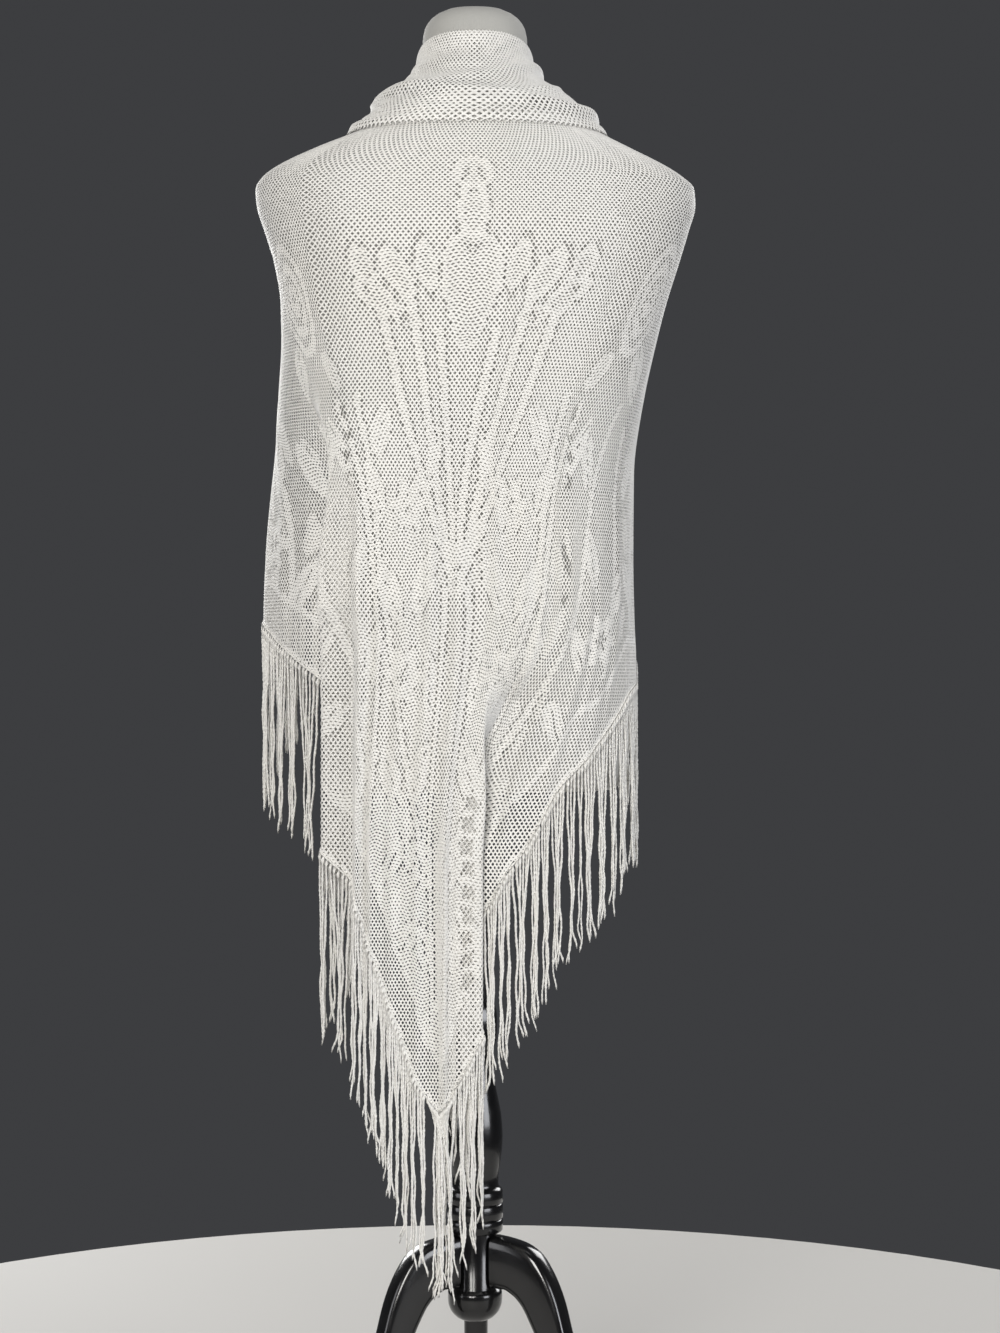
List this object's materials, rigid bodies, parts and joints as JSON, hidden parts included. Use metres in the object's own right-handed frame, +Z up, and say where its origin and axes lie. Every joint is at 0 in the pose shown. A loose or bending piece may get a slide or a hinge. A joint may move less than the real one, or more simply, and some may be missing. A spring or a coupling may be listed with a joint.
{
  "type": "lace shawl on dress form",
  "caption": "Triangular white lace-knit shawl with long fringe, worn round the neck and shoulders of a limbless dress form on a black turned-wood tripod stand.",
  "frame": {"origin": "on the floor, at the middle of the bounding box seen from above", "axes": "+Z up, +Y the way the form's chest faces, +X towards the right of someone looking at its back"},
  "size_m": [0.3954, 0.3512, 1.32],
  "materials": {
    "lace": "warm white open lace knit of soft matt yarn",
    "fringe": "plied warm white yarn",
    "form_cover": "smooth grey jersey over foam",
    "pole": "black painted steel tube",
    "stand": "turned wood in black gloss lacquer"
  },
  "bodies": {
    "root": {"shawl_back": "lace", "shawl_front_left": "lace", "shawl_front_right": "lace", "shawl_neck_roll": "lace", "fringe_front_left": "fringe", "fringe_side_left": "fringe", "fringe_tail_left": "fringe", "fringe_tail_right": "fringe", "fringe_back_right": "fringe", "fringe_front_right": "fringe", "dress_form": "form_cover", "stand_pole": "pole", "stand_top": "stand", "stand_column": "stand", "leg_1": "stand", "leg_2": "stand", "leg_3": "stand"}
  },
  "joints": []
}
